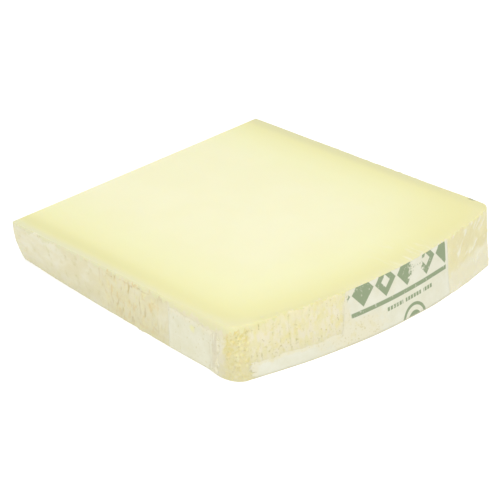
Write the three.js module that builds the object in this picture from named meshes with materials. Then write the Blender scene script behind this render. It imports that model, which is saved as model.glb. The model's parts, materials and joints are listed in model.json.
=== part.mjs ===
// Cheese wedge: a retail portion of a pressed mountain-cheese wheel, lying on one of its
// two cut faces, with the remains of the wheel's paper label on its rind.
//
// The portion is a slice through the wheel, so its top and foot are knife cuts. Three of its
// sides are rind: the wheel's two flat faces, at -Y and +Y, and the heel, the bulging outer
// rim of the wheel, at +X. The fourth side, at -X, is the cut towards the wheel's centre.
// Millimetres, +Z up. The origin is on the surface it rests on, at the middle of its box.
import * as THREE from 'three';

// ---- The slice ----
const WHEEL_HEIGHT = 110; // between the wheel's two flat faces, along Y
const FRONT_LENGTH = 100; // from the heel's chord to the inner cut, along the -Y face
const REAR_LENGTH = 106; // the same along the +Y face: the inner cut is a little skewed
const HEEL_BULGE = 7.6; // how far the heel swells beyond its chord
const HEEL_LEAN = 1.9; // how far the heel's foot stands out beyond its top
const FRONT_CORNER_R = 4.4; // where the heel turns into the -Y face
const REAR_CORNER_R = 3.9; // where the heel turns into the +Y face
const EDGE_R = 0.6; // where the rind meets the two knife cuts

// ---- Its thickness: the cuts aren't quite parallel ----
const FRONT_THICKNESS = 15.8; // at the heel's -Y end
const REAR_THICKNESS = 18.8; // at the heel's +Y end
const TIP_THICKNESS = 14.4; // at the inner cut's -Y end
const UNDERCUT = 4.0; // how far the -Y face falls back at its foot, at the inner cut

// ---- The paper label ----
const LABEL_THICKNESS = 0.4; // paper and its casein glue
const LABEL_GAP = 0.3; // between the label and the rind
const LABEL_FOOT = 0.6; // the label's lower edge above the surface the slice lies on
const LABEL_TOP_MARGIN = 0.2; // the label's upper edge below the rind's rounded edge
const STRIP_HEIGHT = 4.6; // the part of the heel's label that has worn down to a strip
const STRIP_MARGIN = 1.7; // the strip's end from the rounded -Y end of the heel, along Y
const STRIP_LENGTH = 31.3; // along Y
const STEP_LENGTH = 1.2; // between the strip and the panel
const PANEL_LENGTH = 46.5; // along Y, where the whole height of the label is left
const SCRAP_MARGIN = 0.6; // the -Y face's scrap from the heel's rounded corner
const SCRAP_LENGTH = 21.5; // along the -Y face
const SCRAP_LOW_HEIGHT = 12; // the scrap's height at its torn end, nearest the heel

// ---- Facets ----
const FACE_COLUMNS = 26; // along each flat face
const HEEL_COLUMNS = 36; // along the heel
const CORNER_COLUMNS = 7; // round each of the heel's ends
const CUT_COLUMNS = 20; // along the inner cut
const EDGE_ROWS = 3; // round each rounded edge
const SIDE_ROWS = 6; // up the side between them
const LABEL_ROWS = 5; // up the label
const LABEL_COLUMN_PITCH = 2.4; // along the label

const HALF_HEIGHT = WHEEL_HEIGHT / 2;
const HEEL_R = (HALF_HEIGHT ** 2 + HEEL_BULGE ** 2) / (2 * HEEL_BULGE);
const HEEL_CENTRE_X = HEEL_BULGE - HEEL_R;
const lerp = THREE.MathUtils.lerp;

// The upper cut is a plane through the three stated corner thicknesses.
function thicknessAt(x, y) {
  const across = (y + HALF_HEIGHT) / WHEEL_HEIGHT;
  const inward = -x / FRONT_LENGTH;
  const alongHeel = lerp(FRONT_THICKNESS, REAR_THICKNESS, across);
  return alongHeel + (TIP_THICKNESS - FRONT_THICKNESS) * inward;
}

// The inner cut is a plane through the two stated lengths.
function cutX(y) {
  return lerp(-FRONT_LENGTH, -REAR_LENGTH, (y + HALF_HEIGHT) / WHEEL_HEIGHT);
}

// ---- The rind's outline, seen from above ----

// The arc that rounds the heel's end on one side of the wheel (-1 or +1).
function cornerArc(side) {
  const radius = side < 0 ? FRONT_CORNER_R : REAR_CORNER_R;
  const y = side * (HALF_HEIGHT - radius);
  const x = HEEL_CENTRE_X + Math.sqrt((HEEL_R - radius) ** 2 - y ** 2);
  return { x, y, radius, faceAngle: (side * Math.PI) / 2, heelAngle: Math.atan2(y, x - HEEL_CENTRE_X) };
}
const FRONT_CORNER = cornerArc(-1);
const REAR_CORNER = cornerArc(1);

// A place on the outline: where it is, which way is out, and how much of the heel's lean and
// of the -Y face's undercut it takes.
function onFace(side, share) {
  const corner = side < 0 ? FRONT_CORNER : REAR_CORNER;
  const y = side * HALF_HEIGHT;
  return { x: lerp(cutX(y), corner.x, share), y, outX: 0, outY: side, share, lean: 0, side };
}

function onCorner(corner, angle) {
  const outX = Math.cos(angle);
  const outY = Math.sin(angle);
  return {
    x: corner.x + corner.radius * outX,
    y: corner.y + corner.radius * outY,
    outX,
    outY,
    lean: outX / Math.cos(corner.heelAngle),
  };
}

function onHeel(angle) {
  const outX = Math.cos(angle);
  const outY = Math.sin(angle);
  return { x: HEEL_CENTRE_X + HEEL_R * outX, y: HEEL_R * outY, outX, outY, lean: 1 };
}

// How far the side has fallen back from the outline at a share of its height.
function fallBack(place, rise) {
  const undercut = place.side === -1 ? UNDERCUT * (1 - place.share) ** 2 : 0;
  return undercut * (1 - rise) ** 2;
}

// The surface of the rind at a place on the outline, a height and a distance outside it.
function rindPoint(place, z, outside) {
  const rise = z / thicknessAt(place.x, place.y);
  const out = outside - fallBack(place, rise);
  const leanX = HEEL_LEAN * place.lean * (1 - rise);
  const y = place.y + out * place.outY;
  // The end of a flat face slides along the inner cut as the face falls back.
  const slide = place.side ? (1 - place.share) * (cutX(y) - cutX(place.y)) : 0;
  return new THREE.Vector3(place.x + out * place.outX + leanX + slide, y, z);
}

// ---- The slice ----

function rindOutline() {
  const places = [];
  for (let i = 0; i < FACE_COLUMNS; i++) places.push(onFace(-1, i / FACE_COLUMNS));
  for (let i = 0; i < CORNER_COLUMNS; i++) {
    const { faceAngle, heelAngle } = FRONT_CORNER;
    places.push(onCorner(FRONT_CORNER, lerp(faceAngle, heelAngle, i / CORNER_COLUMNS)));
  }
  for (let i = 0; i < HEEL_COLUMNS; i++) {
    places.push(onHeel(lerp(FRONT_CORNER.heelAngle, REAR_CORNER.heelAngle, i / HEEL_COLUMNS)));
  }
  for (let i = 0; i < CORNER_COLUMNS; i++) {
    const { faceAngle, heelAngle } = REAR_CORNER;
    places.push(onCorner(REAR_CORNER, lerp(heelAngle, faceAngle, i / CORNER_COLUMNS)));
  }
  for (let i = 0; i <= FACE_COLUMNS; i++) places.push(onFace(1, 1 - i / FACE_COLUMNS));
  return places;
}

// The rows of the side: a share of the whole height, a height on top of it and a setback.
function sideRows() {
  const rows = [];
  for (let i = 0; i <= EDGE_ROWS; i++) {
    const angle = (i / EDGE_ROWS) * (Math.PI / 2);
    rows.push({ share: 0, lift: EDGE_R * (1 - Math.cos(angle)), setback: EDGE_R * (1 - Math.sin(angle)) });
  }
  for (let i = 1; i < SIDE_ROWS; i++) {
    const share = i / SIDE_ROWS;
    rows.push({ share, lift: EDGE_R * (1 - 2 * share), setback: 0 });
  }
  for (let i = EDGE_ROWS; i >= 0; i--) {
    const angle = (i / EDGE_ROWS) * (Math.PI / 2);
    rows.push({ share: 1, lift: -EDGE_R * (1 - Math.cos(angle)), setback: EDGE_R * (1 - Math.sin(angle)) });
  }
  return rows;
}

// One closed ring of the side: the rind, then the straight line of the inner cut.
function sideRing(row, places) {
  const ring = places.map((place) => {
    const z = row.share * thicknessAt(place.x, place.y) + row.lift;
    return rindPoint(place, z, -row.setback);
  });
  const first = ring[0];
  const last = ring[ring.length - 1];
  for (let i = 1; i < CUT_COLUMNS; i++) ring.push(last.clone().lerp(first, i / CUT_COLUMNS));
  return ring;
}

// A closed body from stacked rings, each cut flat at its ends by a fan from its middle.
function ringBody(rings) {
  const size = rings[0].length;
  const points = rings.flat();
  const triangles = [];
  for (let r = 0; r + 1 < rings.length; r++) {
    for (let i = 0; i < size; i++) {
      const j = (i + 1) % size;
      const [a, b, c, d] = [r * size + i, r * size + j, (r + 1) * size + j, (r + 1) * size + i];
      triangles.push(a, b, c, a, c, d);
    }
  }
  const lastRing = (rings.length - 1) * size;
  const middle = (ring) => ring.reduce((sum, p) => sum.add(p), new THREE.Vector3()).divideScalar(size);
  const foot = points.push(middle(rings[0])) - 1;
  const head = points.push(middle(rings[rings.length - 1])) - 1;
  for (let i = 0; i < size; i++) {
    const j = (i + 1) % size;
    triangles.push(foot, j, i);
    triangles.push(head, lastRing + i, lastRing + j);
  }
  return meshGeometry(points, triangles);
}

function meshGeometry(points, triangles) {
  const geometry = new THREE.BufferGeometry().setFromPoints(points);
  geometry.setIndex(triangles);
  geometry.computeVertexNormals();
  return geometry;
}

function cheeseGeometry() {
  const places = rindOutline();
  // Seen from above the outline runs anticlockwise, so the rings' faces look outward.
  return ringBody(sideRows().map((row) => sideRing(row, places)));
}

// ---- The label ----

// The place on the heel at a distance along Y from its rounded -Y end.
function heelPlaceAt(distance) {
  return onHeel(Math.asin(Math.sin(FRONT_CORNER.heelAngle) + distance / HEEL_R));
}

// The place on the -Y face at a distance back from the heel's rounded corner.
function facePlaceAt(back) {
  return onFace(-1, 1 - back / (FRONT_CORNER.x - cutX(-HALF_HEIGHT)));
}

// A sheet of paper that lies over the rind: columns of {place, top}, each from the label's foot
// up to its own top.
function paperGeometry(columns) {
  const rings = columns.map(({ place, top }) => {
    const ring = [];
    for (let i = 0; i <= LABEL_ROWS; i++) {
      ring.push(rindPoint(place, lerp(LABEL_FOOT, top, i / LABEL_ROWS), LABEL_GAP));
    }
    for (let i = LABEL_ROWS; i >= 0; i--) {
      ring.push(rindPoint(place, lerp(LABEL_FOOT, top, i / LABEL_ROWS), LABEL_GAP + LABEL_THICKNESS));
    }
    return ring;
  });
  return ringBody(rings);
}

function fullLabelTop(place) {
  return thicknessAt(place.x, place.y) - EDGE_R - LABEL_TOP_MARGIN;
}

// Evenly spaced values from start to end, both included.
function stations(start, end) {
  const count = Math.max(1, Math.ceil(Math.abs(end - start) / LABEL_COLUMN_PITCH));
  return Array.from({ length: count + 1 }, (_, i) => lerp(start, end, i / count));
}

// The heel's label: a low strip, then a panel of the label's whole height.
function heelLabelGeometry() {
  const stripEnd = STRIP_MARGIN + STRIP_LENGTH;
  const strip = stations(STRIP_MARGIN, stripEnd).map((distance) => {
    return { place: heelPlaceAt(distance), top: LABEL_FOOT + STRIP_HEIGHT };
  });
  const panelStart = stripEnd + STEP_LENGTH;
  const panel = stations(panelStart, panelStart + PANEL_LENGTH).map((distance) => {
    const place = heelPlaceAt(distance);
    return { place, top: fullLabelTop(place) };
  });
  return paperGeometry([...strip, ...panel]);
}

// The scrap on the -Y face: whole at its cut edge, and torn down towards the heel.
function sideScrapGeometry() {
  const backs = stations(SCRAP_MARGIN + SCRAP_LENGTH, SCRAP_MARGIN);
  const columns = backs.map((back, i) => {
    const place = facePlaceAt(back);
    const low = LABEL_FOOT + SCRAP_LOW_HEIGHT;
    return { place, top: lerp(fullLabelTop(place), low, i / (backs.length - 1)) };
  });
  return paperGeometry(columns);
}

// ---- The scene graph ----

function piece(name, geometry, color, roughness) {
  const material = new THREE.MeshStandardMaterial({ color, roughness, metalness: 0 });
  const mesh = new THREE.Mesh(geometry, material);
  mesh.name = name;
  return mesh;
}

const cheeseWedge = new THREE.Group();
cheeseWedge.add(piece('cheese', cheeseGeometry(), '#f4edba', 0.55));
cheeseWedge.add(piece('heel_label', heelLabelGeometry(), '#ecebd8', 0.85));
cheeseWedge.add(piece('side_label_scrap', sideScrapGeometry(), '#e8e6d0', 0.85));

// Stand the slice over the origin, by the middle of its box.
const middle = new THREE.Box3().setFromObject(cheeseWedge).getCenter(new THREE.Vector3());
cheeseWedge.position.set(-middle.x, -middle.y, 0);
cheeseWedge.updateMatrixWorld(true);

export default cheeseWedge;
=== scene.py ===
# %% [markdown]
# # A slice of mountain cheese
# A pressed cheese wheel is cut into flat slices. This one lies on a knife cut. Its upper face is
# the other cut, three of its sides are rind, and the fourth is the cut towards the wheel's
# centre. Worn paper from the wheel's label is stuck to the rind.
#
# The packed model gives the frame: every piece is made in metres, where the frame says. The
# The frame is loaded first, and its box is kept: the slice's overall sizes come from it.

# %% Load the frame
import json
import math
import bpy
import numpy as np
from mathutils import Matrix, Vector, geometry, noise

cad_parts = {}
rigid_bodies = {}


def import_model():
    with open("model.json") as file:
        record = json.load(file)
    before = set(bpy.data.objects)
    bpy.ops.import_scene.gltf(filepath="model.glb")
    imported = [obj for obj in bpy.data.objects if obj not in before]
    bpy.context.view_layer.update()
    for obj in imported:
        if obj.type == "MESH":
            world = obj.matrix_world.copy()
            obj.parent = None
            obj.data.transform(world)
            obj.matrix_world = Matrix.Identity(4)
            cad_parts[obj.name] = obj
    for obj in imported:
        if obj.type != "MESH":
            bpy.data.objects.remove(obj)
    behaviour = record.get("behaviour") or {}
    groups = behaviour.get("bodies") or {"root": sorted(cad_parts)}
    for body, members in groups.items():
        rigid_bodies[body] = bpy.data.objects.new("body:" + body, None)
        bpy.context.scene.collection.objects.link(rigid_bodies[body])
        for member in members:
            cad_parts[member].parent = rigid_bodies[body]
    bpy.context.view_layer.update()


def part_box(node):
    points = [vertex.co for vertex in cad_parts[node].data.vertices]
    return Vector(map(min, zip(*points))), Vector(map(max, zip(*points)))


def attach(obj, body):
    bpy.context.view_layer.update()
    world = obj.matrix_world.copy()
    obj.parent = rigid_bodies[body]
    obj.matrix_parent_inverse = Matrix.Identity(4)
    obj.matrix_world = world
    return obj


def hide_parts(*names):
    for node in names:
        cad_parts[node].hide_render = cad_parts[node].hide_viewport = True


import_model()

MM = 0.001

# %% [markdown]
# ## The camera, the light and the table
# The slice is seen from above one corner, through a long lens that keeps its sides nearly
# parallel. The light is a bright, even studio: a white surround that lights the rind from all
# round, and one wide lamp above, a little to the heel's side, that makes the upper cut the
# brightest face. The table is a light table: its white top glows a little, as in a product
# studio, so that hardly any shadow shows where the slice rests.

# %% Camera
def new_object(name, data):
    """Makes an object and puts it in the scene."""
    made = bpy.data.objects.new(name, data)
    bpy.context.scene.collection.objects.link(made)
    return made


CAMERA_AZIMUTH = math.radians(46.8)
CAMERA_ELEVATION = math.radians(26)
CAMERA_DISTANCE = 524 * MM
CAMERA_LENS = 122.4
AIM = Vector((5.3, -7.0, 9.0)) * MM


def place_towards(obj, azimuth, elevation, distance):
    """Puts obj on a sphere round the aim point and turns it to look at that point."""
    level = math.cos(elevation)
    back = Vector((math.sin(azimuth) * level, -math.cos(azimuth) * level, math.sin(elevation)))
    obj.location = AIM + back * distance
    obj.rotation_mode = "QUATERNION"
    obj.rotation_quaternion = (-back).to_track_quat("-Z", "Y")


camera = new_object("camera", bpy.data.cameras.new("camera"))
camera.data.lens = CAMERA_LENS
camera.data.clip_start = 0.01
camera.data.clip_end = 20
bpy.context.scene.camera = camera
place_towards(camera, CAMERA_AZIMUTH, CAMERA_ELEVATION, CAMERA_DISTANCE)
print("camera at, mm:", [round(v / MM) for v in camera.location])

# %% Light and table
WHITE = (1, 1, 1, 1)
SURROUND_STRENGTH = 0.80
LAMP_WATTS = 3.25
LAMP_SIZE = 600 * MM
LAMP_DISTANCE = 900 * MM
LAMP_AZIMUTH = math.radians(60)
LAMP_ELEVATION = math.radians(68)
TABLE_SIZE = 6.0
TABLE_WHITE = (0.4, 0.4, 0.4, 1)
TABLE_GLOW = 0.72
TABLE_ROUGHNESS = 0.8
TABLE_GLOSS = 0.2


def type_in(node, values):
    """Sets a node's inputs by their names."""
    for name, value in values.items():
        node.inputs[name].default_value = value


world = bpy.data.worlds.new("white studio")
world.use_nodes = True
type_in(world.node_tree.nodes["Background"], {"Color": WHITE, "Strength": SURROUND_STRENGTH})
bpy.context.scene.world = world
bpy.context.scene.view_settings.view_transform = "Standard"

lamp = new_object("overhead lamp", bpy.data.lights.new("overhead lamp", "AREA"))
lamp.data.shape = "DISK"
lamp.data.size = LAMP_SIZE
lamp.data.energy = LAMP_WATTS
place_towards(lamp, LAMP_AZIMUTH, LAMP_ELEVATION, LAMP_DISTANCE)

half = TABLE_SIZE / 2
table_corners = [(-half, -half, 0), (half, -half, 0), (half, half, 0), (-half, half, 0)]
table_mesh = bpy.data.meshes.new("table")
table_mesh.from_pydata(table_corners, [], [(0, 1, 2, 3)])
table = new_object("table", table_mesh)
table_white = bpy.data.materials.new("table white")
table_white.use_nodes = True
type_in(table_white.node_tree.nodes["Principled BSDF"], {
    "Base Color": TABLE_WHITE,
    "Roughness": TABLE_ROUGHNESS,
    "Specular IOR Level": TABLE_GLOSS,
    "Emission Color": WHITE,
    "Emission Strength": TABLE_GLOW,
})
table_mesh.materials.append(table_white)
print("lamp at, mm:", [round(v / MM) for v in lamp.location])

# %% [markdown]
# ## The outline of the rind
# Seen from above, the rind runs along one flat face of the wheel, round a corner, along the
# bulging heel, round another corner and back along the other flat face. Everything on the rind
# is placed by two numbers: how far along this line it is, and how high. The line could be drawn
# by hand as a curve, but straight stretches and arcs from a few sizes give exact places and
# outward directions anywhere on it. The overall sizes come from the frame.

# %% Sizes of the slice
cheese_low, cheese_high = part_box("cheese")
FRONT_Y = cheese_low.y
REAR_Y = cheese_high.y
REAR_CUT_X = cheese_low.x
FRONT_CUT_X = REAR_CUT_X + 6.0 * MM
HEEL_BULGE = 7.6 * MM
HEEL_LEAN = 1.9 * MM
FOOT_SPREAD = 0.6 * MM
CORNER_SPREAD = 0.9 * MM
CORNER_REACH = 5 * MM
CHORD_X = cheese_high.x - HEEL_BULGE - HEEL_LEAN
CORNER_R = {-1: 4.4 * MM, 1: 3.9 * MM}
UNDERCUT = 4.0 * MM
FRONT_THICKNESS = 15.8 * MM
REAR_THICKNESS = 18.8 * MM
TIP_THICKNESS = 14.4 * MM
FOOT_EDGE = 0.2 * MM

WHEEL_HEIGHT = REAR_Y - FRONT_Y
MID_Y = (FRONT_Y + REAR_Y) / 2
HEEL_R = ((WHEEL_HEIGHT / 2) ** 2 + HEEL_BULGE**2) / (2 * HEEL_BULGE)
HEEL_CENTRE_X = CHORD_X + HEEL_BULGE - HEEL_R


def thickness_at(x, y):
    """The height of the upper cut, a plane that tilts with the knife."""
    across = (y - FRONT_Y) / WHEEL_HEIGHT
    inward = (CHORD_X - x) / (CHORD_X - FRONT_CUT_X)
    at_heel = FRONT_THICKNESS + (REAR_THICKNESS - FRONT_THICKNESS) * across
    return at_heel + (TIP_THICKNESS - FRONT_THICKNESS) * inward


def cut_x(y):
    """Where the inner cut is, at a distance across the wheel."""
    return FRONT_CUT_X + (REAR_CUT_X - FRONT_CUT_X) * (y - FRONT_Y) / WHEEL_HEIGHT


print("heel radius, mm:", round(HEEL_R / MM))
print("thickest, mm:", round(thickness_at(CHORD_X, REAR_Y) / MM, 1))

# %% The outline, as one row of values for each place on it
FRONT_PITCH = 0.30 * MM
HEEL_PITCH = 0.25 * MM
REAR_PITCH = 0.48 * MM
CORNER_PITCH = 0.2 * MM
FINE_PITCH = 0.1 * MM


def corner(side):
    """Centre and heel-end angle of the arc that rounds the heel's end at -Y (-1) or +Y (1)."""
    radius = CORNER_R[side]
    offset = side * (WHEEL_HEIGHT / 2 - radius)
    x = HEEL_CENTRE_X + math.sqrt((HEEL_R - radius) ** 2 - offset**2)
    return x, MID_Y + offset, radius, math.atan2(offset, x - HEEL_CENTRE_X)


def face_run(side, shares):
    """Places along a flat face; share 0 is at the inner cut and 1 at the heel's corner."""
    y = np.full_like(shares, FRONT_Y if side < 0 else REAR_Y)
    x = cut_x(y) + (corner(side)[0] - cut_x(y)) * shares
    zero = np.zeros_like(shares)
    undercut = UNDERCUT * (1 - shares) ** 2 * (side < 0)
    return np.array([x, y, zero, zero + side, zero, undercut, 1 - shares])


def arc_run(centre_x, centre_y, radius, angles, lean):
    """Places along an arc, each taking its share of the heel's lean."""
    out_x, out_y = np.cos(angles), np.sin(angles)
    zero = np.zeros_like(angles)
    x, y = centre_x + radius * out_x, centre_y + radius * out_y
    return np.array([x, y, out_x, out_y, lean, zero, zero])


def make_outline(front_pitch, heel_pitch, rear_pitch, corner_pitch):
    """The whole outline at about those pitches, and the distance along it of each place."""
    halves = []
    for side, pitch in ((-1, front_pitch), (1, rear_pitch)):
        x, y, radius, angle = corner(side)
        face = np.linspace(0, 1, int((x - cut_x(FRONT_Y if side < 0 else REAR_Y)) / pitch))
        turn = np.linspace(side * math.pi / 2, angle, int(radius * 1.3 / corner_pitch))
        arc = arc_run(x, y, radius, turn, np.cos(turn) / math.cos(angle))
        halves.append(np.concatenate([face_run(side, face)[:, :-1], arc[:, :-1]], axis=1))
    sweep = np.linspace(corner(-1)[3], angle, int(2 * angle * HEEL_R / heel_pitch))
    heel = arc_run(HEEL_CENTRE_X, MID_Y, HEEL_R, sweep, np.ones_like(sweep))
    outline = np.concatenate([halves[0], heel, halves[1][:, ::-1]], axis=1)
    steps = np.hypot(np.diff(outline[0]), np.diff(outline[1]))
    distance = np.concatenate([[0], np.cumsum(steps)])
    corner_middle = distance[np.argmax(outline[4] > 0)] + 2 * MM
    by_corner = np.exp(-(((distance - corner_middle) / CORNER_REACH) ** 2))
    return np.vstack([outline, by_corner]), distance


def places_at(distances):
    """The outline's values at any distances along it."""
    fine_outline, fine_along = make_outline(FINE_PITCH, FINE_PITCH, FINE_PITCH, FINE_PITCH)
    return np.array([np.interp(distances, fine_along, row) for row in fine_outline])


def rind_points(places, z, outside):
    """The surface of the rind at places on the outline, at heights z and distances outside it."""
    x, y, out_x, out_y, lean, undercut, slide, by_corner = places
    rise = z / thickness_at(x, y)
    out = outside + (CORNER_SPREAD * by_corner - undercut) * (1 - rise) ** 2
    new_y = y + out * out_y
    sliding = slide * (cut_x(new_y) - cut_x(y))
    leaning = HEEL_LEAN * (1 - rise) + FOOT_SPREAD * (1 - rise) ** 3
    new_x = x + out * out_x + leaning * lean + sliding
    return np.stack(np.broadcast_arrays(new_x, new_y, z), axis=-1)


outline, along = make_outline(FRONT_PITCH, HEEL_PITCH, REAR_PITCH, CORNER_PITCH)
FRONT_CORNER_AT = float(along[np.argmax(outline[4] > 0)])
HEEL_AT = float(along[np.argmax(outline[4] >= 1)])
HEEL_END_AT = float(along[len(along) - 1 - np.argmax(outline[4][::-1] >= 1)])
RIND_LENGTH = float(along[-1])
print("mm along the rind: corner", round(FRONT_CORNER_AT / MM, 1), "heel", round(HEEL_AT / MM, 1))
print("heel's end", round(HEEL_END_AT / MM, 1), "rind's end", round(RIND_LENGTH / MM, 1))

# %% [markdown]
# ## Where the label is
# The paper is what is left of the label that was glued round the wheel. On the heel it is a low
# strip that widens into a panel of the whole height, and on the flat face it is a scrap. Its
# torn edges wander, so they come from noise with a fixed seed. They are worked out before the
# rind, because the rind is smooth where paper still covers it.
#
# The knife has left the upper edge nearly sharp on the heel, but rounded at the near corner and
# along part of the flat face. There the bare paste comes a little way down the side before the
# rind starts.

# %% The label's extents, as distances along the rind
STRIP_FROM = HEEL_AT + 1.7 * MM
PANEL_FROM = STRIP_FROM + 32.5 * MM
PANEL_TO = PANEL_FROM + 46.5 * MM
SCRAP_FROM = FRONT_CORNER_AT - 22.1 * MM
SCRAP_TO = FRONT_CORNER_AT - 0.6 * MM
LABEL_FOOT = 0.35 * MM
LABEL_HEADROOM = 0.35 * MM
STRIP_HEIGHT = 4.6 * MM
SCRAP_LOW = 12.4 * MM


def wander(values, size, seed):
    """Smooth noise from -1 to 1 along a line of distances, with features of that size."""
    flat = np.ravel(values)
    made = [noise.fractal((v / size, seed, 0.5), 0.6, 2.0, 3) for v in flat]
    return np.reshape(np.clip(made, -1, 1), np.shape(values))


def smooth_step(low, high, value):
    """0 up to low, rising softly to 1 at high."""
    share = np.clip((value - low) / (high - low), 0, 1)
    return share * share * (3 - 2 * share)


def window(value, start, end, soft):
    """1 between start and end, falling softly to 0 outside."""
    risen = smooth_step(start - soft, start + soft, value)
    return risen * (1 - smooth_step(end - soft, end + soft, value))


def heel_label_top(distance, full):
    """The upper edge of the heel's label: the torn strip, then the panel's cut edge."""
    strip = STRIP_HEIGHT + 0.5 * MM * wander(distance, 4 * MM, 3.1)
    step_at = PANEL_FROM + 0.6 * MM
    grown = smooth_step(step_at - 1.6 * MM, step_at + 0.8 * MM, distance)
    return strip + (full - LABEL_HEADROOM - strip) * grown


def scrap_top(distance, full):
    """The upper edge of the flat face's scrap: nearly whole, then torn down to the heel."""
    torn = smooth_step(SCRAP_FROM, SCRAP_TO, distance)
    top = (full - 2.3 * MM) + (SCRAP_LOW + 2.3 * MM - full) * torn
    return np.minimum(top + 0.5 * MM * wander(distance, 2.5 * MM, 7.7), full - LABEL_HEADROOM)


def top_edge(distance):
    """Radius of the rounded upper edge, which is largest at the near corner."""
    worn = window(distance, FRONT_CORNER_AT - 22 * MM, HEEL_AT + 5 * MM, 9 * MM)
    middle = window(distance, FRONT_CORNER_AT - 66 * MM, HEEL_AT, 14 * MM)
    return 0.45 * MM + 0.35 * MM * middle + 0.95 * MM * worn


label_marks = (SCRAP_FROM, SCRAP_TO, STRIP_FROM, PANEL_FROM, PANEL_TO)
print("label, mm along the rind:", [round(v / MM, 1) for v in label_marks])

# %% [markdown]
# ## The body of the cheese
# The slice is one piece of curd: the rind is only its dried outside. So it is one closed mesh.
# A cube could be cut and bevelled into this shape, but the rind's small relief needs an even,
# fine grid that follows the outline, while the cut faces can be coarser. The side is therefore
# a grid of rows and columns, and each cut face is filled by triangulating points inside its
# edge. Each point also carries values that the relief and the colours need: how far along and
# how high it is, how far below the upper edge, how deep under the rind a cut point lies, and
# which kind of rind it belongs to.

# %% Rows up the side
CUT_EDGE_INSET = 0.08 * MM
FOOT_ROWS = 2
EDGE_ROWS = 6
MIDDLE_ROWS = 46
CUT_COLUMNS = 120
EDGE_SETBACK = 0.6


def side_grid():
    """Positions of the side from the foot up, one list entry for each row."""
    heights = thickness_at(outline[0], outline[1])
    radius = top_edge(along)
    setback = EDGE_SETBACK * radius
    foot_turn = np.linspace(0, math.pi / 2, FOOT_ROWS + 1)
    top_turn = np.linspace(math.pi / 2, 0, EDGE_ROWS + 1)
    rows = [(0 * heights, FOOT_EDGE + CUT_EDGE_INSET + 0 * heights)]
    for turn in foot_turn:
        rows.append((FOOT_EDGE * (1 - math.cos(turn)) + 0 * heights, FOOT_EDGE * (1 - math.sin(turn))))
    span = heights - radius - FOOT_EDGE
    rows += [(FOOT_EDGE + span * i / MIDDLE_ROWS, 0) for i in range(1, MIDDLE_ROWS)]
    for turn in top_turn:
        rows.append((heights - radius * (1 - math.cos(turn)), setback * (1 - math.sin(turn))))
    rows.append((heights, setback + CUT_EDGE_INSET))
    mix = np.arange(1, CUT_COLUMNS)[:, None] / CUT_COLUMNS
    grid = []
    for number, (z, inwards) in enumerate(rows):
        rind_part = rind_points(outline, z, -inwards)
        cut_part = rind_part[-1] * (1 - mix) + rind_part[0] * mix
        if number in (0, len(rows) - 1):
            cut_part = cut_part + np.array([CUT_EDGE_INSET, 0, 0])
        grid.append(np.concatenate([rind_part, cut_part]))
    return np.array(grid)


grid = side_grid()
row_count, column_count = grid.shape[:2]
print("side grid:", row_count, "rows x", column_count, "columns")

# %% Fill the cut faces
CUT_GRID_PITCH = 1.25 * MM
CUT_GRID_MARGIN = 1.8 * MM


def rind_distances(x, y):
    """Distances of a cut point from the front face, the heel and the rear face."""
    from_heel = HEEL_R - np.hypot(x - HEEL_CENTRE_X, y - MID_Y)
    return np.array([y - FRONT_Y, from_heel, REAR_Y - y])


def inner_points():
    """A square grid of points well inside the edge of a cut face."""
    xs = np.arange(REAR_CUT_X, cheese_high.x, CUT_GRID_PITCH)
    ys = np.arange(FRONT_Y, REAR_Y, CUT_GRID_PITCH)
    x, y = [v.ravel() for v in np.meshgrid(xs, ys)]
    front, heel, rear = rind_distances(x, y)
    overhang = 1.5 * UNDERCUT * smooth_step(40 * MM, -60 * MM, x) ** 2
    margin = np.minimum.reduce([front - overhang, heel, rear, x - cut_x(y)])
    keep = margin > CUT_GRID_MARGIN
    return np.stack([x[keep], y[keep]], axis=1)


def fill(ring, inside):
    """Triangles that fill a ring of points and use the inside points too."""
    flat = [Vector(p[:2]) for p in ring] + [Vector(p) for p in inside]
    edges = [(i, (i + 1) % len(ring)) for i in range(len(ring))]
    made = geometry.delaunay_2d_cdt(flat, edges, [], 1, 1e-7)
    origin = [indices[0] for indices in made[3]]
    return [[origin[i] for i in face] for face in made[2]]


inside = inner_points()
foot_faces = fill(grid[0], inside)
head_faces = fill(grid[-1], inside)
print("points inside each cut:", len(inside), " triangles:", len(foot_faces), len(head_faces))

# %% One closed mesh
side_points = grid.reshape(-1, 3)
foot_points = np.column_stack([inside, np.zeros(len(inside))])
head_points = np.column_stack([inside, thickness_at(inside[:, 0], inside[:, 1])])
points = np.concatenate([side_points, foot_points, head_points])

columns = np.arange(column_count)
next_columns = (columns + 1) % column_count
faces = []
for row in range(row_count - 1):
    low, high = row * column_count, (row + 1) * column_count
    quads = np.stack([low + columns, low + next_columns, high + next_columns, high + columns], axis=1)
    faces += quads.tolist()


def renumber(face, ring_start, inside_start):
    """Turns a filled face's point numbers into the whole mesh's."""
    return [ring_start + i if i < column_count else inside_start + i - column_count for i in face]


foot_start = len(side_points)
head_start = foot_start + len(foot_points)
faces += [renumber(face, 0, foot_start)[::-1] for face in foot_faces]
faces += [renumber(face, (row_count - 1) * column_count, head_start) for face in head_faces]

cheese_mesh = bpy.data.meshes.new("cheese blank")
cheese_mesh.from_pydata(points.tolist(), [], faces)
cheese_mesh.validate()
print("blank:", len(points), "points,", sum(len(f) - 2 for f in faces), "triangles")

# %% [markdown]
# ## What kind of rind is where
# The rind isn't the same all round. Beside the label the heel still shows the ribs of the
# mould's cloth. The corner is crumbly and yellow. The flat face is smooth at the cut end,
# cracked and flaky in the middle, and papered near the heel. The heel's far end is smeared in
# slanting creases. Painting these by hand would work, but soft windows along the rind do the
# same from a few distances, and they can be read.

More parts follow.
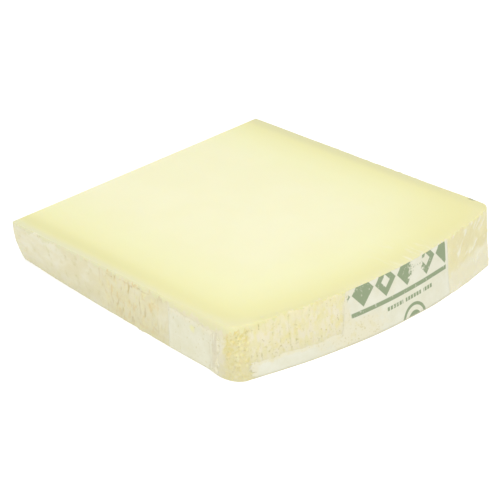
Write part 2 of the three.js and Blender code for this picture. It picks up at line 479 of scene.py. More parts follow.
# %% Values on each point
count = len(points)
rind_columns = len(along)
no_cut = np.zeros(CUT_COLUMNS - 1)
side_along = np.tile(np.concatenate([along, no_cut]), row_count)
z_side = grid[:, :, 2].ravel()
full_side = np.tile(thickness_at(grid[-1, :, 0], grid[-1, :, 1]), row_count)
on_rind = np.zeros((row_count, column_count))
on_rind[1:-1, :rind_columns] = 1

under_heel_label = window(side_along, STRIP_FROM, PANEL_TO, 0.4 * MM)
under_heel_label *= 1 - smooth_step(-0.3 * MM, 0.3 * MM, z_side - heel_label_top(side_along, full_side))
under_scrap = window(side_along, SCRAP_FROM, SCRAP_TO, 0.4 * MM)
under_scrap *= 1 - smooth_step(-0.3 * MM, 0.3 * MM, z_side - scrap_top(side_along, full_side))

FRONT_CRACKS = (44 * MM, 71 * MM)
REAR_CRACKS = (240 * MM, 275 * MM)
side_values = {
    "along": side_along,
    "rise": z_side / full_side,
    "below": np.maximum(full_side - z_side, 0),
    "bared": np.tile(np.concatenate([top_edge(along) - 0.35 * MM, no_cut]), row_count),
    "rind": on_rind.ravel(),
    "ribbed": window(side_along, HEEL_AT + 2 * MM, PANEL_FROM + 4 * MM, 2 * MM),
    "combed": window(side_along, HEEL_AT + 3 * MM, HEEL_AT + 17 * MM, 4 * MM),
    "crumbly": window(side_along, FRONT_CORNER_AT + 1 * MM, HEEL_AT + 2.2 * MM, 2.2 * MM),
    "cracked": window(side_along, *FRONT_CRACKS, 5 * MM) + window(side_along, *REAR_CRACKS, 9 * MM),
    "creased": window(side_along, PANEL_TO, HEEL_END_AT + 9 * MM, 5 * MM),
    "papered": np.maximum(under_heel_label, under_scrap),
}


def soft_minimum(distances, softness):
    """The smallest of several distances, rounded where two are alike."""
    return -softness * np.log(np.sum(np.exp(-distances / softness), axis=0))


distances = rind_distances(points[:, 0], points[:, 1])
depth = soft_minimum(distances, 5 * MM)
all_values = {"depth": np.maximum(depth, 0)}
for name, values in side_values.items():
    all_values[name] = np.concatenate([values, np.zeros(count - len(values))])
turn = np.arctan2(points[:, 1] - MID_Y, points[:, 0] - HEEL_CENTRE_X) - corner(-1)[3]
beside_ribs = window(HEEL_AT + turn * HEEL_R, HEEL_AT + 5 * MM, PANEL_FROM + 1 * MM, 3 * MM)
all_values["crust"] = beside_ribs * (distances[1] < 4 * MM)


def store_on_points(mesh, name, values):
    """Keeps a number, or an arrow of three numbers, on each point of a mesh."""
    kind, part = ("FLOAT", "value") if values.ndim == 1 else ("FLOAT_VECTOR", "vector")
    stored = mesh.attributes.new(name, kind, "POINT")
    stored.data.foreach_set(part, values.ravel().astype(np.float32))


for name, values in all_values.items():
    store_on_points(cheese_mesh, name, values)
print("values on each point:", sorted(all_values))

# %% Which way each point may move
outward = np.zeros((count, 3))
side_outward = np.zeros((row_count, column_count, 3))
side_outward[:, :rind_columns, 0] = outline[2]
side_outward[:, :rind_columns, 1] = outline[3]
side_outward[1:-1, rind_columns:, 0] = -1
outward[: len(side_points)] = side_outward.reshape(-1, 3)
outward[head_start:, 2] = 1
store_on_points(cheese_mesh, "outward", outward)
blank = new_object("cheese blank", cheese_mesh)
print("points that may move:", int(np.any(outward, axis=1).sum()))

# %% [markdown]
# ## A helper for node trees
# Both the relief and the finishes are node trees. Written out in full, each node takes several
# lines, so this small helper adds a node, sets it and feeds it in one line. What comes out of a
# node is a wire. A wire is linked to what it feeds, and anything else is typed in. Sums with
# wires are written as sums: each sign adds the math node that works it out.

# %% Wires, so that sums can be written
def sum_node(operation, turned=False):
    """A method that adds the math node for two values, in this order or turned round."""

    def method(wire, other):
        pair = (other, wire) if turned else (wire, other)
        return wire.recipe.math(operation, *pair)

    return method


class Wire:
    """An output of a node, which sums can be written with."""

    def __init__(self, recipe, socket):
        self.recipe = recipe
        self.socket = socket

    def __abs__(self):
        return self.recipe.math("ABSOLUTE", self)

    __add__ = sum_node("ADD")
    __radd__ = sum_node("ADD", turned=True)
    __sub__ = sum_node("SUBTRACT")
    __rsub__ = sum_node("SUBTRACT", turned=True)
    __mul__ = sum_node("MULTIPLY")
    __rmul__ = sum_node("MULTIPLY", turned=True)
    __truediv__ = sum_node("DIVIDE")


print("signs a wire takes: + - * / and abs")

# %% The node helper
class Recipe:
    """Adds nodes to a tree, so that a pattern reads from top to bottom."""

    def __init__(self, tree):
        self.tree = tree

    def feed(self, node, inputs):
        """Links a wire to each input, or types a plain value in."""
        for key, value in inputs.items():
            if isinstance(value, Wire):
                self.tree.links.new(value.socket, node.inputs[key])
            else:
                node.inputs[key].default_value = value
        return node

    def add(self, kind, inputs=None, **settings):
        node = self.tree.nodes.new(kind)
        for key, value in settings.items():
            setattr(node, key, value)
        return self.feed(node, inputs or {})

    def wire(self, output, kind, inputs=None, **settings):
        """Adds a node and hands on one of its outputs."""
        return Wire(self, self.add(kind, inputs, **settings).outputs[output])

    def wires(self, kind, inputs=None):
        """Adds a node and hands on all its outputs by their names."""
        outputs = self.add(kind, inputs).outputs
        return {socket.name: Wire(self, socket) for socket in outputs}

    def value(self, name, kind="FLOAT"):
        """What is stored on the points under that name."""
        if self.tree.type == "SHADER":
            return self.wire("Fac", "ShaderNodeAttribute", attribute_name=name)
        return self.wire("Attribute", "GeometryNodeInputNamedAttribute", {0: name}, data_type=kind)

    def math(self, operation, *values):
        return self.wire(0, "ShaderNodeMath", dict(enumerate(values)), operation=operation)

    def largest(self, first, second):
        return self.math("MAXIMUM", first, second)

    def vector(self, operation, inputs, output=0):
        return self.wire(output, "ShaderNodeVectorMath", inputs, operation=operation)

    def ramp(self, value, low, high, to_low=0.0, to_high=1.0):
        """Maps low..high to to_low..to_high, smoothly, and holds the ends."""
        inputs = {"Value": value, "From Min": low, "From Max": high, "To Min": to_low, "To Max": to_high}
        return self.wire(0, "ShaderNodeMapRange", inputs, interpolation_type="SMOOTHSTEP")

    def fall(self, value, low, high):
        """1 up to low, falling smoothly to 0 at high."""
        return self.ramp(value, low, high, 1.0, 0.0)

    def stretch(self, place, x, y, z):
        return self.vector("MULTIPLY", {0: place, 1: (x, y, z)})

    def noise(self, place, size, seed, detail=2.0, roughness=0.5):
        """Noise from about 0 to 1; the size of its features may be a number or a wire."""
        scale = self.math("DIVIDE", 1.0, size)
        inputs = {"Vector": place, "W": seed, "Scale": scale, "Detail": detail, "Roughness": roughness}
        return self.wire(0, "ShaderNodeTexNoise", inputs, noise_dimensions="4D")

    def cells(self, place, size, seed, feature="F1"):
        """Distance within cells of that size, from their middles or from their edges."""
        inputs = {"Vector": place, "W": seed, "Scale": self.math("DIVIDE", 1.0, size)}
        settings = {"voronoi_dimensions": "4D", "feature": feature}
        return self.wire("Distance", "ShaderNodeTexVoronoi", inputs, **settings)

    def bent(self, place, size, amount):
        """Places pushed about by noise, so that a pattern on them turns crooked."""
        inputs = {"Vector": place, "Scale": 1 / size, "Detail": 2.0}
        push = self.wire("Color", "ShaderNodeTexNoise", inputs)
        return self.vector("ADD", {0: place, 1: self.vector("SCALE", {0: push, "Scale": amount})})

    def slanted(self, place, angle, drawn_out):
        """Places seen along a slope in the heel's face, so that a pattern is drawn out along it."""
        split = self.wires("ShaderNodeSeparateXYZ", {0: place})
        cosine, sine = math.cos(angle), math.sin(angle)
        up_slope = split["Y"] * cosine + split["Z"] * sine
        off_slope = split["Z"] * cosine + split["Y"] * -sine
        return self.wire(0, "ShaderNodeCombineXYZ", {"X": up_slope * (1 / drawn_out), "Y": off_slope})

    def mix(self, share, first, second):
        """A number between two numbers."""
        return self.wire(0, "ShaderNodeMix", {0: share, 2: first, 3: second}, data_type="FLOAT")

    def blend(self, share, first, second):
        """A colour between two colours."""
        return self.wire(2, "ShaderNodeMix", {0: share, 6: first, 7: second}, data_type="RGBA")


print("node helper:", sum(callable(part) for part in vars(Recipe).values()), "methods")

# %% Trees with named inputs
def tree_with_inputs(name, sizes, extra):
    """An empty Geometry Nodes tree with a named input for each size and each extra socket."""
    tree = bpy.data.node_groups.new(name, "GeometryNodeTree")
    tree.interface.new_socket("Geometry", in_out="INPUT", socket_type="NodeSocketGeometry")
    for size in sizes:
        tree.interface.new_socket(size, in_out="INPUT", socket_type="NodeSocketFloat")
    for label, kind in extra.items():
        tree.interface.new_socket(label, in_out="INPUT", socket_type=kind)
    tree.interface.new_socket("Geometry", in_out="OUTPUT", socket_type="NodeSocketGeometry")
    return tree


def apply_tree(obj, tree, values, name):
    """Runs a tree on an object and returns the result as a plain mesh; the object goes."""
    modifier = obj.modifiers.new(tree.name, "NODES")
    modifier.node_group = tree
    for item in tree.interface.items_tree:
        if item.in_out == "INPUT" and item.name in values:
            modifier[item.identifier] = values[item.name]
    evaluated = obj.evaluated_get(bpy.context.evaluated_depsgraph_get())
    mesh = bpy.data.meshes.new_from_object(evaluated)
    obj.modifiers.remove(modifier)
    bpy.data.objects.remove(obj)
    mesh.name = name
    return new_object(name, mesh)


print("helpers for trees:", tree_with_inputs.__name__, "and", apply_tree.__name__)

# %% [markdown]
# ## The relief of the rind
# The relief is ribs, lumps, crumbs, cracks, creases and a slow swell, each in its own stretch.
# A sculpted displacement would have to be redone whenever the slice changed. A Geometry Nodes
# tree moves every point outward by a rule instead, so the relief is real shape that shows in
# the outline and in raking light. It has named inputs for its sizes and one seed. It also
# stores how deep each point lies, so that the colours can settle in the pits.

# %% Build the relief tree
CREASE_SLOPE = math.radians(42)
RELIEF_SIZES = {
    "Rib spacing": 2.4 * MM,
    "Rib height": 0.22 * MM,
    "Lump size": 2.1 * MM,
    "Lump height": 0.30 * MM,
    "Crumb size": 1.3 * MM,
    "Crumb height": 0.38 * MM,
    "Crack spacing": 2.8 * MM,
    "Crack depth": 0.22 * MM,
    "Crease size": 3.0 * MM,
    "Crease height": 0.16 * MM,
    "Swell size": 14 * MM,
    "Swell height": 0.5 * MM,
    "Cut ripple": 0.10 * MM,
    "Seed": 4.0,
}
relief_tree = tree_with_inputs("rind relief", RELIEF_SIZES, {"Material": "NodeSocketMaterial"})
g = Recipe(relief_tree)
given = g.wires("NodeGroupInput")
place = g.wire(0, "GeometryNodeInputPosition")
seed = given["Seed"]
distance_along = g.value("along")
ribbed = g.value("ribbed")
crumbly = g.value("crumbly")
cracked = g.value("cracked")
creased = g.value("creased")
bare = 1 - g.value("papered")
wobble = 0.5 * (g.noise(place, given["Lump size"], seed) - 0.5)
upright = g.stretch(place, 1.0, 1.0, 0.2)
drift = 2.0 * (g.noise(upright, 3.0 * given["Rib spacing"], seed) - 0.5)
print("relief sizes:", len(RELIEF_SIZES) - 1)

# %% Ribs, lumps and crumbs
# Ribs: rounded stripes that run up the heel, each a little crooked, with narrow valleys.
rib_phase = distance_along / given["Rib spacing"] + wobble + drift
rib_wave = abs(g.math("SINE", rib_phase * math.pi))
rib_kept = g.ramp(g.noise(place, 1.3 * given["Rib spacing"], seed + 5.0), 0.38, 0.58, 0.1, 1.0)
rib_kept = rib_kept * g.ramp(g.value("combed"), 0.0, 1.0, 0.35, 1.0)
rib_kept = rib_kept * g.ramp(g.noise(place, 1.1 * MM, seed + 6.0), 0.38, 0.55, 0.3, 1.0)
valleys = g.fall(rib_wave, 0.0, 0.42) * rib_kept

# Lumps and crumbs: domes with sharp valleys between them. The lumps are taller than wide.
lump_place = g.stretch(place, 1.0, 1.0, 0.6)
lumps = g.fall(g.cells(lump_place, given["Lump size"], seed), 0.0, 0.75)
crumbs = g.fall(g.cells(place, given["Crumb size"], seed + 2.0), 0.0, 0.7)
print("nodes with the ribs and crumbs:", len(relief_tree.nodes))

# %% Cracks, a ledge and creases
# Cracks: the edges of tall, crooked cells, open only in places.
tall = g.stretch(place, 1.0, 1.0, 0.28)
crack_edges = g.cells(g.bent(tall, 3 * MM, 1.6 * MM), given["Crack spacing"], seed, "DISTANCE_TO_EDGE")
crack_open = g.ramp(g.noise(tall, 0.6 * given["Crack spacing"], seed + 9.0), 0.48, 0.62)
cracks = g.fall(crack_edges, 0.0, 0.065) * crack_open

# A ledge: one long crack under the upper edge, where the rind has lifted off.
ledge_at = 2.6 * MM * g.noise(place, 5 * MM, 21.0) + 0.3 * MM
ledge_gap = abs(g.value("below") - ledge_at)
ledge_open = g.ramp(g.noise(place, 2.5 * MM, 22.0), 0.45, 0.6)
ledge = g.ramp(ledge_gap, 0.08 * MM, 0.3 * MM, 0.8, 0.0) * ledge_open
cracks = g.largest(cracks, ledge)

# Creases: thin slanting folds at the heel's far end, where drawn-out noise passes its middle.
crease_place = g.slanted(g.bent(place, 6 * MM, 3 * MM), CREASE_SLOPE, 4.0)
from_middle = abs(g.noise(crease_place, given["Crease size"], seed) - 0.5)
creases = g.fall(from_middle, 0.0, 0.07) * g.ramp(g.noise(place, 4 * MM, 23.0), 0.46, 0.6)
print("nodes with the cracks and creases:", len(relief_tree.nodes))

# %% Add the heights up and move the points
rib_height = (0.2 - valleys) * given["Rib height"]
lump_height = (lumps - 0.5) * given["Lump height"]
crumb_height = (crumbs - 0.5) * given["Crumb height"]
crack_height = cracks * given["Crack depth"] * -1.0
crease_height = (creases - 0.3) * given["Crease height"]
fine = 0.3 * lump_height + ribbed * (rib_height + 0.7 * lump_height) + crumbly * crumb_height
fine = fine + cracked * (1.1 * lump_height + crack_height) + creased * crease_height
swell = (g.noise(place, given["Swell size"], seed, 1.0) - 0.1) * given["Swell height"]
relief = fine * bare + swell

on_outline = g.math("GREATER_THAN", distance_along, 0.0)
ripple = (g.noise(place, 9 * MM, 3.0, 3.0) - 0.5) * given["Cut ripple"] * 2.0
direction = g.value("outward", "FLOAT_VECTOR")
offset = g.vector("SCALE", {0: direction, "Scale": g.mix(on_outline, ripple, relief)})


def finish_tree(recipe, geometry_wire, material):
    """Every tree ends alike: smooth shading, real geometry and one finish."""
    smooth = recipe.wire(0, "GeometryNodeSetShadeSmooth", {"Geometry": geometry_wire})
    real = recipe.wire(0, "GeometryNodeRealizeInstances", {"Geometry": smooth})
    finished = recipe.wire(0, "GeometryNodeSetMaterial", {"Geometry": real, "Material": material})
    recipe.add("NodeGroupOutput", {"Geometry": finished})


body = given["Geometry"]
to_store = {
    "valleys": valleys * ribbed * bare,
    "cracks": cracks * cracked * bare,
    "crumbs": crumbs * crumbly,
    "lumps": lumps,
    "creases": creases * creased,
}
for name, value in to_store.items():
    inputs = {"Geometry": body, "Name": name, "Value": value}
    body = g.wire(0, "GeometryNodeStoreNamedAttribute", inputs, data_type="FLOAT", domain="POINT")
moved = g.wire(0, "GeometryNodeSetPosition", {"Geometry": body, "Offset": offset})
finish_tree(g, moved, given["Material"])
print("relief tree:", len(relief_tree.nodes), "nodes")

# %% [markdown]
# ## Finishes
# ## Finishes
# Cheese isn't painted: light goes a little way in and comes out softer, so the finish has some
# subsurface. The cut paste is pale ivory in the middle and turns a deeper yellow over the last
# centimetre under the rind, most of all in the last few millimetres. The rind is a dry, mottled
# beige, pinkish on its high spots and olive or mustard in its pits. Both are parts of one
# material, because they are one piece, and the stored values say which shows where. Light and
# shade are also painted into the colour: pale streaks of sheen on the cut and lines along the far
# end's creases are painted highlights, and the rind's darkening towards the foot and the darker
# line where it meets the table are painted shade.

# %% Colours of the cheese, as a screen shows them
TOP_LIGHT = 1.12
SIDE_LIGHT = 1.07
PASTE_BY_DEPTH = [
    (0.0, (237, 232, 182)),
    (2.5, (238, 233, 173)),
    (6.0, (241, 237, 176)),
    (10.0, (244, 241, 185)),
    (17.0, (247, 245, 195)),
    (30.0, (249, 246, 204)),
    (45.0, (250, 247, 207)),
]
PASTE_REACH = PASTE_BY_DEPTH[-1][0]
PASTE_REAR = (220, 217, 168)
PASTE_OLIVE = (230, 226, 164)
PASTE_BUTTER = (239, 233, 168)
PASTE_DRY = (230, 228, 190)
# the pale colour of a painted highlight, a sheen on the upper cut
PASTE_SHEEN_HIGHLIGHT = (246, 243, 214)
RIND_BEIGE = (230, 223, 186)
RIND_PALE = (238, 234, 208)
RIND_CREAM = (233, 226, 180)
RIND_PINK = (236, 229, 199)
RIND_OLIVE = (217, 210, 160)
RIND_STRAW = (226, 217, 166)
RIND_FOOT_SHADE = (214, 208, 172)
RIND_CONTACT_SHADE = (204, 201, 170)
RIND_YELLOW = (237, 230, 180)
MUSTARD = (231, 220, 152)
RUST_SPECK = (226, 205, 146)
BROWN_SPECK = (184, 168, 108)
OLIVE_SPECK = (196, 186, 128)
CRACK_BROWN = (200, 174, 110)
CREASE_HIGHLIGHT = (243, 241, 224)
MOULD_SPECK = (130, 134, 104)


# %% Coats of colour
def linear(red, green, blue, light):
    """A screen's colour as linear light, divided by the brightness that falls on that side."""
    values = []
    for part in (red, green, blue):
        part /= 255
        straight = part / 12.92 if part <= 0.04045 else ((part + 0.055) / 1.055) ** 2.4
        values.append(min(straight / light, 0.98))
    return (*values, 1)


class Coats:
    """A colour built up in coats, each laid over the last ones where its share says."""

    def __init__(self, recipe, light, first):
        self.recipe = recipe
        self.light = light
        self.color = self.ready(first)

    def ready(self, color):
        if isinstance(color, Coats):
            return color.color
        return linear(*color, self.light) if isinstance(color, tuple) else color

    def lay(self, share, color):
        self.color = self.recipe.blend(share, self.color, self.ready(color))
        return self


def new_material(name, helper=Recipe):
    """A material, a recipe for its tree, and the shader at the tree's end."""
    material = bpy.data.materials.new(name)
    material.use_nodes = True
    return material, helper(material.node_tree), material.node_tree.nodes["Principled BSDF"]


paste_by_rind = linear(*PASTE_BY_DEPTH[0][1], TOP_LIGHT)
print("the paste by the rind, as linear light:", [round(v, 2) for v in paste_by_rind[:3]])

# %% The paste
cheese_finish, c, shader = new_material("cheese")
place = c.wire("Object", "ShaderNodeTexCoord")
place_x, place_y, place_z = c.wires("ShaderNodeSeparateXYZ", {0: place}).values()

paste_ramp = c.add("ShaderNodeValToRGB", {0: c.value("depth") / (PASTE_REACH * MM)})
stops = paste_ramp.color_ramp.elements
for position, color in PASTE_BY_DEPTH[1:-1]:
    stops.new(position / PASTE_REACH)
for stop, (position, color) in zip(stops, PASTE_BY_DEPTH):
    stop.position = position / PASTE_REACH
    stop.color = linear(*color, TOP_LIGHT)
paste = Coats(c, TOP_LIGHT, Wire(c, paste_ramp.outputs[0]))
cloud = c.ramp(c.noise(place, 16 * MM, 1.0, 3.0), 0.3, 0.7)
paste.lay(0.15 * cloud, PASTE_BY_DEPTH[2][1])
lip = c.value("crust") * c.fall(c.value("depth"), 0.6 * MM, 2.6 * MM)
paste.lay(0.6 * lip, PASTE_OLIVE)
at_rear = c.ramp(place_y, REAR_Y - 6 * MM, REAR_Y - 1 * MM)
paste.lay(0.6 * at_rear, PASTE_REAR)
to_front = place_y - FRONT_Y
near_cut = c.ramp(place_x, CHORD_X - 70 * MM, CHORD_X - 20 * MM, 1.0, 0.35)
olive_line = c.ramp(to_front, 1.5 * MM, 4 * MM) * c.fall(to_front, 4 * MM, 9 * MM)
paste.lay(olive_line * near_cut * 0.55, PASTE_OLIVE)
paste.lay(c.fall(to_front, 0.5 * MM, 3.5 * MM) * near_cut * 0.8, PASTE_DRY)
by_heel = c.ramp(place_x, CHORD_X - 36 * MM, CHORD_X - 6 * MM)
far_corner = by_heel * c.ramp(place_y, 12 * MM, 40 * MM)
paste.lay(0.45 * far_corner, PASTE_BUTTER)
near_heel = c.ramp(place_x, CHORD_X - 9 * MM, CHORD_X + 2 * MM)
beside_panel = c.ramp(place_y, 2 * MM, 8 * MM) * c.fall(place_y, 16 * MM, 26 * MM)
# Painted highlight: pale streaks of sheen near the heel, laid into the paste's colour.
sheen_streak_place = c.stretch(place, 0.3, 1.0, 1.0)
sheen_streaks = c.ramp(c.noise(sheen_streak_place, 1.8 * MM, 31.0, 3.0), 0.5, 0.7)
paste.lay(near_heel * beside_panel * sheen_streaks * 0.7, PASTE_SHEEN_HIGHLIGHT)
on_inner_cut = c.ramp(c.value("below"), 0.2 * MM, 1.2 * MM)
drag = c.noise(c.stretch(place, 1.0, 1.0, 0.07), 1.5 * MM, 32.0, 3.0, 0.6)
paste.lay(on_inner_cut * c.ramp(drag, 0.45, 0.7) * 0.35, PASTE_DRY)
print("paste:", len(cheese_finish.node_tree.nodes), "nodes")

# %% Helpers for the rind, and its kinds
def on_side(first):
    """Coats of colour in the light of the sides."""
    return Coats(c, SIDE_LIGHT, first)


def ragged(mask, size, seed, spread=0.9, soft=0.1):
    """A soft mask with an irregular border, as one kind of rind flakes off over another."""
    pushed = mask + (c.noise(place, size, seed, 3.0) - 0.5) * spread
    return c.ramp(pushed, 0.5 - soft, 0.5 + soft) * c.ramp(mask, 0.0, 0.15)


def spot_mask(recipe, place, centre, inner, outer, drawn_out=1.0):
    """One soft spot, which may be drawn out along the flat faces."""
    away = recipe.vector("SUBTRACT", {0: place, 1: centre})
    away = recipe.stretch(away, 1 / drawn_out, 1.0, 1.0)
    return recipe.fall(recipe.vector("LENGTH", {0: away}, "Value"), inner, outer)


rise = c.value("rise")
ribbed = ragged(c.value("ribbed"), 2 * MM, 41.0)
cracked = c.value("cracked")
crumbly = ragged(c.value("crumbly"), 1.6 * MM, 42.0, 1.2, 0.3)
creased = ragged(c.value("creased"), 3 * MM, 43.0, 0.9, 0.2)
tall_place = c.stretch(place, 1.0, 1.0, 0.4)
fine = c.noise(place, 0.75 * MM, 5.0, 3.0)
specks = c.ramp(fine, 0.57, 0.68)
print("with the kinds of rind:", len(cheese_finish.node_tree.nodes), "nodes")

# %% The plain rind, and the ribs beside the label
mottle = c.ramp(c.noise(c.stretch(place, 0.55, 0.55, 1.0), 4.5 * MM, 2.0, 4.0, 0.55), 0.36, 0.64)
rind = on_side(RIND_BEIGE).lay(mottle, RIND_PALE)
stains = c.ramp(c.noise(place, 3.2 * MM, 8.0, 4.0, 0.6), 0.52, 0.66)
rind.lay(0.4 * stains, RIND_OLIVE)
rind.lay(specks * stains * 0.3, BROWN_SPECK)
by_scrap = c.ramp(place_x, CHORD_X - 26 * MM, CHORD_X - 20 * MM)
rind.lay(0.5 * by_scrap, RIND_PINK)

valleys = c.value("valleys")
rib_tone = c.ramp(c.noise(c.stretch(place, 1.0, 1.0, 0.6), 1.5 * MM, 3.0, 3.0), 0.4, 0.6)
ribs = on_side(RIND_CREAM).lay(rib_tone, RIND_PINK)
ribs.lay(c.ramp(rise, 0.7, 0.95, 0.0, 0.5), RIND_YELLOW)
rib_patches = c.ramp(c.noise(place, 2.6 * MM, 4.0, 4.0, 0.6), 0.52, 0.66)
ribs.lay(0.6 * rib_patches, MUSTARD)
ribs.lay(0.75 * valleys, RIND_OLIVE)
settled = fine + 0.18 * valleys + c.ramp(rise, 0.3, 0.9, 0.02, -0.03)
ribs.lay(0.7 * c.ramp(settled, 0.59, 0.72), OLIVE_SPECK)
rind.lay(ribbed, ribs)
print("with the ribs:", len(cheese_finish.node_tree.nodes), "nodes")

# %% The crumbly corner, and the cracks of the flat face
crumb_tone = c.ramp(c.noise(place, 2.0 * MM, 6.0, 5.0, 0.65), 0.38, 0.56)
corner_rind = on_side(MUSTARD).lay(crumb_tone, RIND_YELLOW)
pale_crumbs = c.ramp(c.noise(place, 1.3 * MM, 18.0, 3.0), 0.55, 0.68)
corner_rind.lay(0.5 * pale_crumbs, RIND_PINK)
corner_rind.lay(c.ramp(c.value("crumbs"), 0.1, 0.45, 0.15, 0.0), BROWN_SPECK)
rust = c.ramp(c.noise(tall_place, 1.0 * MM, 7.0, 3.0), 0.54, 0.66)
corner_rind.lay(0.4 * rust, RUST_SPECK)
corner_rind.lay(0.55 * specks, OLIVE_SPECK)
rind.lay(crumbly, corner_rind)

rind.lay(0.38 * cracked, RIND_STRAW)
chips = c.ramp(c.noise(tall_place, 1.7 * MM, 9.0, 4.0, 0.6), 0.5, 0.6)
chip = on_side(RIND_YELLOW).lay(c.ramp(c.noise(place, 3 * MM, 19.0), 0.45, 0.6), RUST_SPECK)
rind.lay(chips * cracked * 0.7, chip)
rind.lay(0.7 * c.value("cracks"), CRACK_BROWN)
print("with the corner and the cracks:", len(cheese_finish.node_tree.nodes), "nodes")

# %% The smeared skin of the heel's far end with painted crease highlights, and painted shade at the foot
sloping_z = place_z - 0.11 * place_y
smear_place = c.bent(place, 5 * MM, 4 * MM)
border = sloping_z + 7 * MM * c.noise(c.slanted(smear_place, 0.0, 2.0), 2.5 * MM, 10.0, 4.0, 0.6)
smeared = c.noise(c.slanted(smear_place, CREASE_SLOPE, 2.4), 2.8 * MM, 24.0, 4.0, 0.6)
smooth_skin = on_side(RIND_STRAW).lay(c.ramp(smeared, 0.38, 0.62), RIND_CREAM)
smooth_skin.lay(c.ramp(place_y, 34 * MM, 26 * MM, 0.0, 0.6), RIND_YELLOW)
far_end = on_side(RIND_BEIGE).lay(c.ramp(mottle, 0.0, 1.0, 0.6, 1.0), RIND_PALE)
far_end.lay(c.ramp(border, 4.8 * MM, 8.0 * MM), smooth_skin)
# Painted highlight: thin pale lines along the creases, where light would catch them.
far_end.lay(0.8 * c.value("creases"), CREASE_HIGHLIGHT)
rind.lay(0.85 * creased, far_end)

# Painted shade: the rind darkens towards the foot, less on the far end's skin.
foot_shade_share = c.ramp(rise, 0.0, 0.75, 0.5, 0.0) * c.ramp(creased, 0.0, 1.0, 1.0, 0.4)
rind.lay(foot_shade_share, RIND_FOOT_SHADE)
# Painted shade: a darker line in the lowest millimetre, where the rind meets the table.
rind.lay(c.ramp(place_z, 0.1 * MM, 0.9 * MM, 0.3, 0.0), RIND_CONTACT_SHADE)
print("rind and paste:", len(cheese_finish.node_tree.nodes), "nodes")

# %% Where the rind starts, and the finish as a whole
CRUST_START = -0.4 * MM
MOULD_AT = (41 * MM, REAR_Y - 0.2 * MM, 18.3 * MM)
jagged_place = c.stretch(place, 1.0, 1.0, 0.3)
jagged = 8.5 * MM * (c.noise(jagged_place, 1.7 * MM, 12.0, 4.0, 0.6) - 0.45)
flaked = 3.0 * MM * (c.noise(place, 6 * MM, 17.0, 2.0) - 0.5)
crust = c.value("crust")
start = c.value("bared") + jagged + flaked + CRUST_START * crust
over_edge = c.value("below") - c.value("depth")
covered = c.ramp(over_edge - start, -0.12 * MM, 0.16 * MM)
rind_share = c.largest(c.value("rind"), crust) * covered
whole = on_side(paste).lay(rind_share, rind)
at_rear_edge = c.ramp(place_y, REAR_Y - 1.1 * MM, REAR_Y - 0.3 * MM)
whole.lay(at_rear_edge * specks * 0.5, BROWN_SPECK)
mould = spot_mask(c, place, MOULD_AT, 0.3 * MM, 1.1 * MM, drawn_out=2.0)
whole.lay(0.72 * mould, MOULD_SPECK)

grain_height = c.noise(place, 0.45 * MM, 13.0, 3.0, 0.6)
paste_height = c.noise(place, 1.3 * MM, 14.0, 4.0, 0.65)
height = c.mix(rind_share, 0.25 * paste_height + drag * on_inner_cut * 0.5, grain_height)
bump = {"Height": height, "Distance": 0.14 * MM, "Strength": 0.8}
c.feed(shader, {
    "Base Color": whole.color,
    "Roughness": c.ramp(rind_share, 0.0, 1.0, 0.46, 0.8),
    "Normal": c.wire(0, "ShaderNodeBump", bump),
    "Specular IOR Level": 0.35,
    "Subsurface Weight": 0.25,
    "Subsurface Radius": (1.0, 0.8, 0.35),
    "Subsurface Scale": 1.2 * MM,
})
print("cheese finish:", len(cheese_finish.node_tree.nodes), "nodes")

# %% Raise the relief on the blank
relief_values = {**RELIEF_SIZES, "Material": cheese_finish}
cheese_body = apply_tree(blank, relief_tree, relief_values, "cheese_body")
print("cheese body:", len(cheese_body.data.vertices), "points,", len(cheese_body.data.polygons), "faces")

# %% [markdown]
# ## The label's print
# The real label carries lettering and a mark. Here the print is generic: a broken row of
# lozenges along the upper edge, a thick rule under them, a fine dashed line, and a plain
# roundel that the lower edge cuts through. It could be a picture, but a pattern from sums stays
# sharp at any distance. The paper's map holds millimetres over a hundred, so the pattern is
# laid out in millimetres. The ink is worn, so noise eats into it.

# %% Colours and sizes of the print
HEEL_LIGHT = 1.13
PRINTED_PAPER = ((238, 237, 218), (231, 229, 205))
PLAIN_PAPER = ((236, 234, 211), (229, 226, 197))
PAPER_STAIN = (236, 231, 203)
PAPER_PATCH = (232, 224, 176)
PAPER_SPECK = (212, 203, 152)
PAPER_CONTACT_SHADE = (212, 212, 190)
BUTTER_SPOT = (238, 235, 170)
FOLD_SHADE = (220, 212, 184)
INK_GREEN = (146, 162, 126)
BUTTER_AT = (33.5 * MM, FRONT_Y + 0.8 * MM, 11.2 * MM)
PANEL_AT_MM = (PANEL_FROM - STRIP_FROM) / MM
ROW_CLIMB = 0.029
RULE_UP = 8.45
DASHES_UP = 5.65
LOZENGE_PITCH = 9.2
LOZENGE_MIDDLE = 14.6
LOZENGE_HALF_WIDTH = 4.3
LOZENGE_HALF_HEIGHT = 4.7
ROUNDEL_AT = 28.5
ROUNDEL_UP = -0.9
print("the panel starts on the map at, mm:", round(PANEL_AT_MM, 1))

